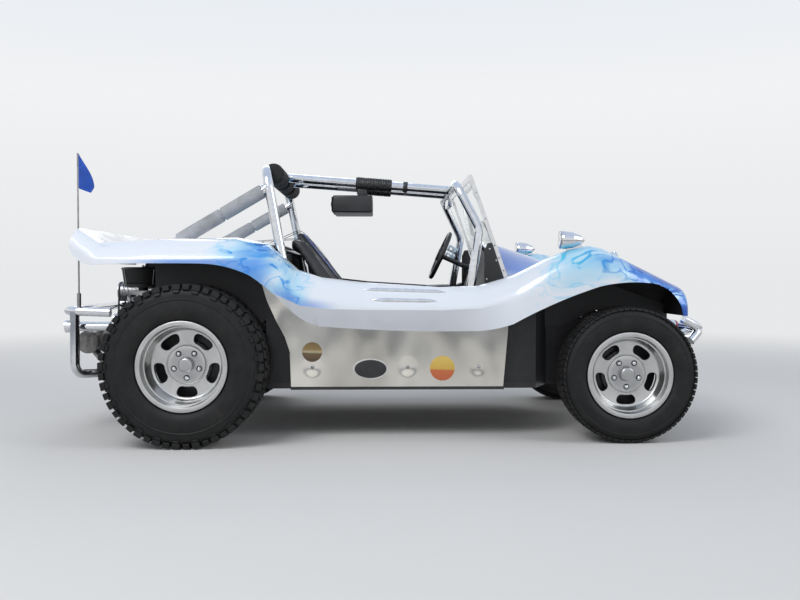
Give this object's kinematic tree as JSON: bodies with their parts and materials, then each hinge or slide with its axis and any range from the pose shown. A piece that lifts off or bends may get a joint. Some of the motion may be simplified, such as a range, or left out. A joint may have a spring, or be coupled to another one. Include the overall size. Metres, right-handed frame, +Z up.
{
  "type": "dune buggy",
  "caption": "Open dune buggy with flared glass-fibre body, chrome roll cage, raked flat windscreen, slotted alloy wheels and an open rear engine.",
  "frame": {"origin": "centre of the bounding box on the ground", "axes": "+X forward, +Y to the left side, +Z up"},
  "size_m": [3.21, 1.7986, 1.3779],
  "materials": {
    "body_paint": "gloss",
    "black_liner": "satin",
    "black_steel": "satin",
    "polished_sheet": "polished",
    "chrome_tube": "polished",
    "padding": "matte",
    "clear_glass": "gloss",
    "black_vinyl": "satin",
    "cast_alloy": "satin",
    "wheel_alloy": "satin",
    "tyre": "matte",
    "steel": "satin",
    "red_lens": "gloss",
    "flag_cloth": "matte",
    "plate_white": "gloss",
    "filter_mesh": "matte",
    "exhaust_steel": "satin"
  },
  "bodies": {
    "chassis": {"air_filters": "filter_mesh", "body_shell": "body_paint", "carburettors": "cast_alloy", "cockpit_tub": "black_liner", "dashboard": "black_liner", "drive_pulleys": "polished_sheet", "driver_controls": "black_steel", "engine_block": "cast_alloy", "engine_cylinders": "cast_alloy", "exhaust_system": "exhaust_steel", "fan_shroud": "chrome_tube", "fender_mirrors": "chrome_tube", "flag": "flag_cloth", "floor_pan": "black_steel", "front_arms": "black_steel", "front_beam": "black_steel", "front_bumper": "chrome_tube", "front_cage": "chrome_tube", "front_indicators": "red_lens", "gauges": "polished_sheet", "generator": "steel", "harness_bar": "chrome_tube", "headlamp_lenses": "clear_glass", "headlamps": "chrome_tube", "interior_mirror": "chrome_tube", "number_plate": "plate_white", "overhead_console": "black_liner", "rear_axle": "black_steel", "rear_bumper": "chrome_tube", "rear_stays": "chrome_tube", "rocker_covers": "chrome_tube", "roll_hoop": "chrome_tube", "roof_bars": "chrome_tube", "seat_left": "black_vinyl", "seat_right": "black_vinyl", "side_panels": "polished_sheet", "stay_padding": "padding", "steering_box": "cast_alloy", "steering_column": "black_steel", "tail_lamps": "red_lens", "tailpipes": "chrome_tube", "whip_mast": "steel", "windscreen_frame": "chrome_tube", "windscreen_glass": "clear_glass"},
    "knuckle_right": {"knuckle_right": "black_steel"},
    "knuckle_left": {"knuckle_left": "black_steel"},
    "tie_rod_right": {"tie_rod_right": "steel"},
    "tie_rod_left": {"tie_rod_left": "steel"},
    "pitman_arm": {"pitman_arm": "steel"},
    "steering_wheel": {"steering_wheel": "black_vinyl"},
    "front_wheel_right": {"front_rim_right": "wheel_alloy", "front_tyre_right": "tyre"},
    "front_wheel_left": {"front_rim_left": "wheel_alloy", "front_tyre_left": "tyre"},
    "rear_wheel_right": {"rear_rim_right": "wheel_alloy", "rear_tyre_right": "tyre"},
    "rear_wheel_left": {"rear_rim_left": "wheel_alloy", "rear_tyre_left": "tyre"}
  },
  "joints": [
    {"name": "steer_right", "type": "hinge", "parent": "chassis", "child": "knuckle_right", "pos_m": [1.125, -0.59, 0.316], "axis": [0, 0, 1], "range_deg": [-26, 26]},
    {"name": "steer_left", "type": "hinge", "parent": "chassis", "child": "knuckle_left", "pos_m": [1.125, 0.59, 0.316], "axis": [0, 0, 1], "range_deg": [-26, 26]},
    {"name": "pitman_turn", "type": "hinge", "parent": "chassis", "child": "pitman_arm", "pos_m": [1.125, 0.35, 0.396], "axis": [0, 0, 1], "range_deg": [-26, 26]},
    {"name": "tie_rod_right_pivot", "type": "hinge", "parent": "knuckle_right", "child": "tie_rod_right", "pos_m": [1.215, -0.59, 0.358], "axis": [0, 0, 1], "range_deg": [-26, 26]},
    {"name": "tie_rod_left_pivot", "type": "hinge", "parent": "knuckle_left", "child": "tie_rod_left", "pos_m": [1.215, 0.59, 0.374], "axis": [0, 0, 1], "range_deg": [-26, 26]},
    {"name": "steering_wheel_turn", "type": "hinge", "parent": "chassis", "child": "steering_wheel", "pos_m": [0.326, 0.35, 0.897], "axis": [-0.915, 0, 0.4035], "range_deg": [-400, 400]},
    {"name": "front_right_spin", "type": "hinge", "parent": "knuckle_right", "child": "front_wheel_right", "pos_m": [1.125, -0.7, 0.316], "axis": [0, 1, 0], "continuous": true},
    {"name": "front_left_spin", "type": "hinge", "parent": "knuckle_left", "child": "front_wheel_left", "pos_m": [1.125, 0.7, 0.316], "axis": [0, 1, 0], "continuous": true},
    {"name": "rear_right_spin", "type": "hinge", "parent": "chassis", "child": "rear_wheel_right", "pos_m": [-0.915, -0.766, 0.37], "axis": [0, 1, 0], "continuous": true},
    {"name": "rear_left_spin", "type": "hinge", "parent": "chassis", "child": "rear_wheel_left", "pos_m": [-0.915, 0.766, 0.37], "axis": [0, 1, 0], "continuous": true}
  ],
  "couplings": [
    {"joint": "steer_left", "follows": "steer_right", "ratio": 1},
    {"joint": "pitman_turn", "follows": "steer_right", "ratio": 1},
    {"joint": "tie_rod_right_pivot", "follows": "steer_right", "ratio": -1},
    {"joint": "tie_rod_left_pivot", "follows": "steer_right", "ratio": -1},
    {"joint": "steering_wheel_turn", "follows": "steer_right", "ratio": 15}
  ]
}
